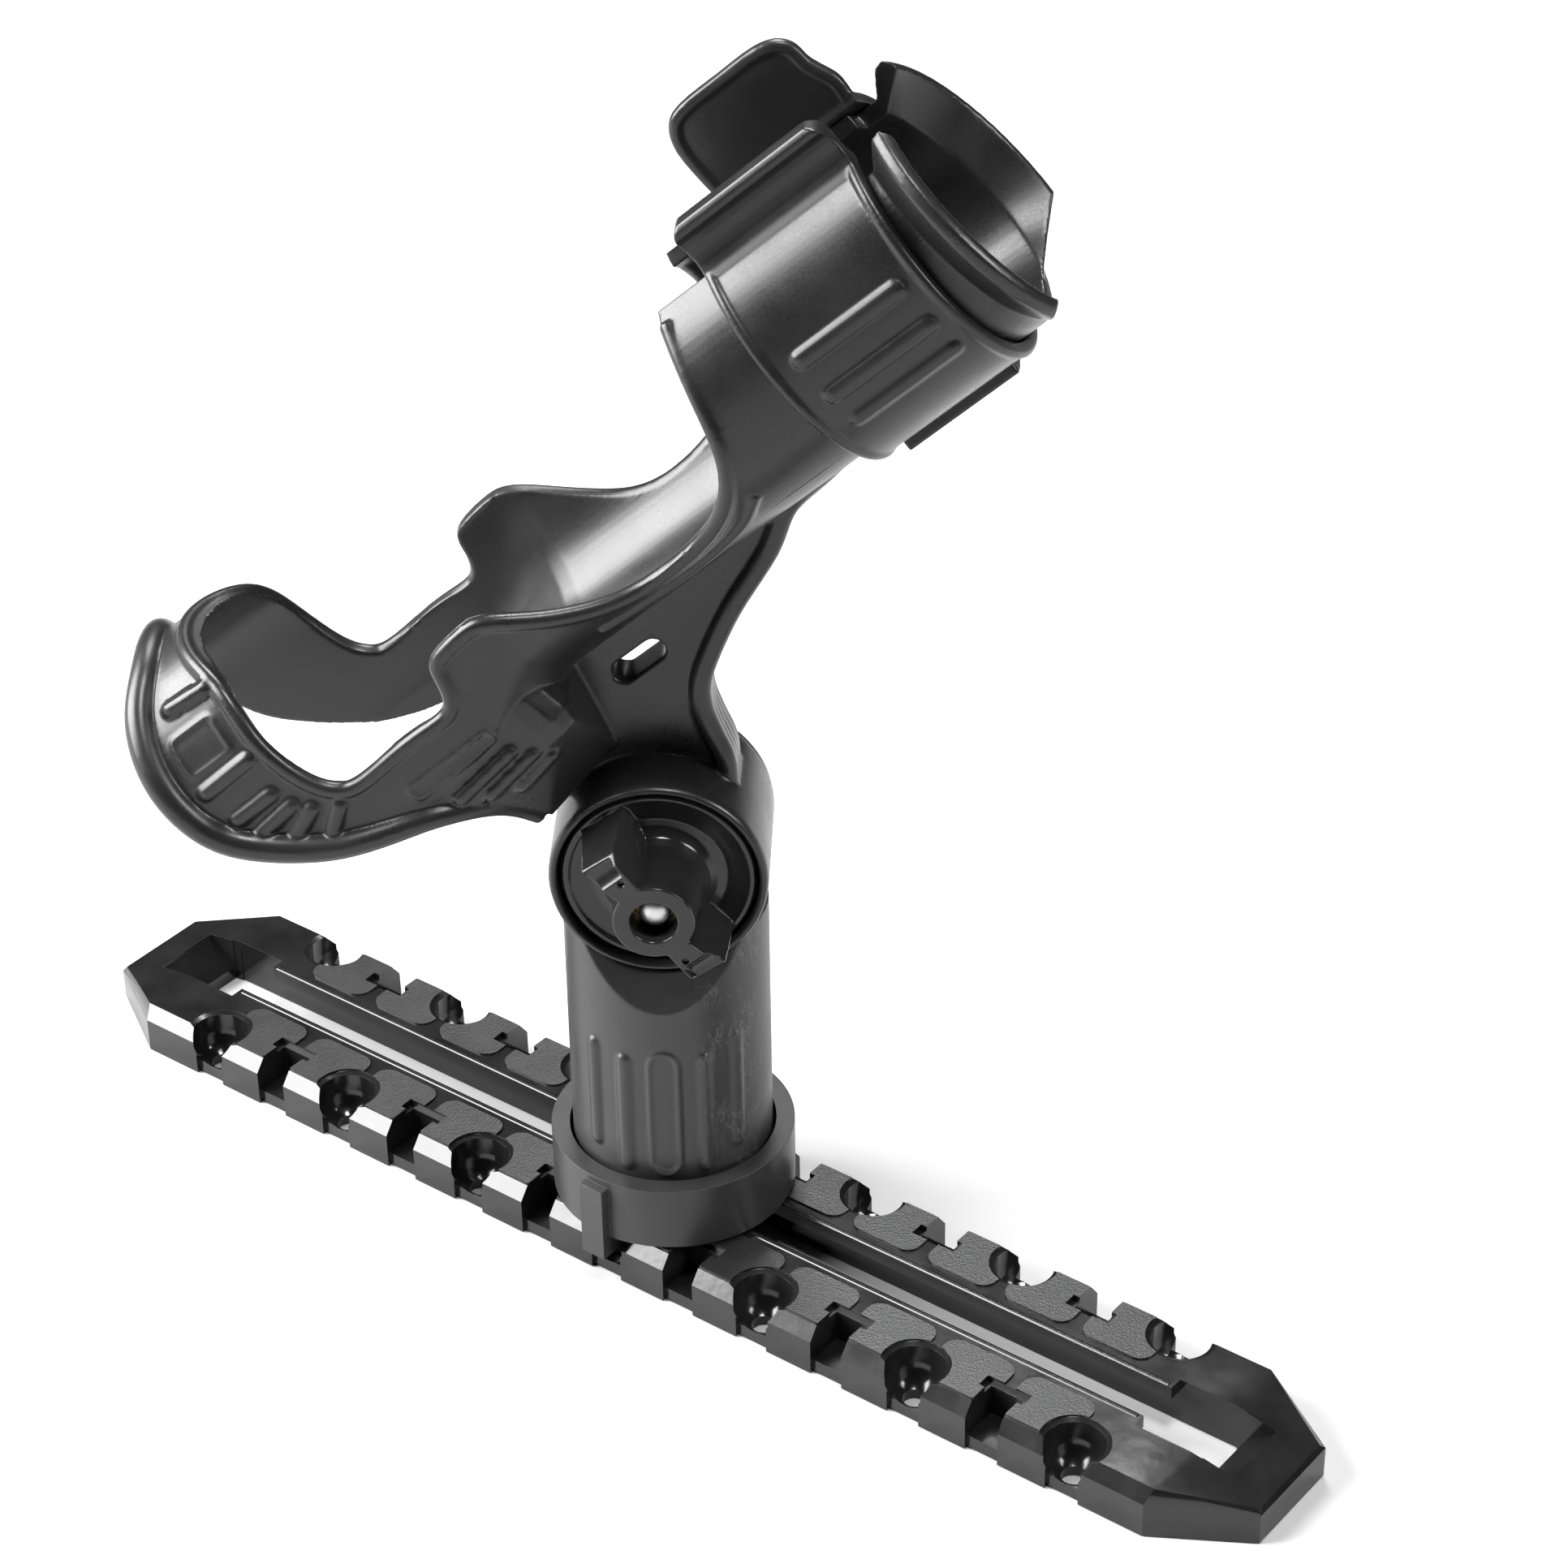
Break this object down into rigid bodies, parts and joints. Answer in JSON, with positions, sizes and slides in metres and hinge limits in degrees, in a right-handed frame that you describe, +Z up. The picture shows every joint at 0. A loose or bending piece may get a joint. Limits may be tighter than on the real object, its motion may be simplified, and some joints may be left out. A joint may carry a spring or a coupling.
{
  "type": "track-mounted rod holder",
  "caption": "Tilting, swivelling fishing-rod holder on a round post: open cradle with front tube and turning collar, on a cup that slides along a slotted track.",
  "frame": {"origin": "on the track's underside, in the middle of its length and width, on the axis of the post", "axes": "+X along the track, +Z up along the post, +Y across the track; the rod points up and out at 35 degrees from +X towards +Y"},
  "size_m": [0.3046, 0.139, 0.2615],
  "materials": {
    "gloss_black": "gloss, fine leather grain on the flats",
    "satin_black": "satin glass-filled nylon",
    "acetal": "smooth, slightly waxy",
    "stainless": "bright turned stainless steel",
    "spring_steel": "drawn wire",
    "brass": "turned"
  },
  "bodies": {
    "rail": {"track_rail": "gloss_black"},
    "carriage": {"track_bolt": "stainless"},
    "base": {"base_ring": "satin_black", "base_washer": "stainless", "base_nut": "stainless", "index_ring": "acetal", "snap_ring": "spring_steel"},
    "post": {"post_tube": "satin_black", "detent_plunger_1": "stainless", "detent_plunger_2": "stainless", "detent_spring_1": "spring_steel", "detent_spring_2": "spring_steel", "tilt_bolt": "stainless"},
    "cradle": {"cradle": "satin_black", "knuckle_washer": "acetal", "separator_spring": "spring_steel", "knob_washer": "stainless"},
    "knob": {"wing_knob": "gloss_black", "knob_insert": "brass"},
    "collar": {"retainer_collar": "satin_black"}
  },
  "joints": [
    {"name": "track_slide", "type": "slide", "parent": "rail", "child": "carriage", "axis": [1, 0, 0], "range_m": [-0.05715, 0.05715]},
    {"name": "base_lift", "type": "slide", "parent": "carriage", "child": "base", "axis": [0, 0, 1], "range_m": [0, 0.005]},
    {"name": "post_swivel", "type": "hinge", "parent": "base", "child": "post", "pos_m": [0, 0, 0.02], "axis": [0, 0, 1], "continuous": true},
    {"name": "cradle_tilt", "type": "hinge", "parent": "post", "child": "cradle", "pos_m": [0, 0, 0.0977], "axis": [0.5736, -0.8192, 0], "range_deg": [-40, 50]},
    {"name": "knob_turn", "type": "hinge", "parent": "cradle", "child": "knob", "pos_m": [0, 0, 0.0977], "axis": [0.5736, -0.8192, 0], "continuous": true},
    {"name": "collar_turn", "type": "hinge", "parent": "cradle", "child": "collar", "pos_m": [0.03358, 0.02351, 0.22091], "axis": [0.6321, 0.4426, 0.6361], "range_deg": [0, 130]}
  ]
}
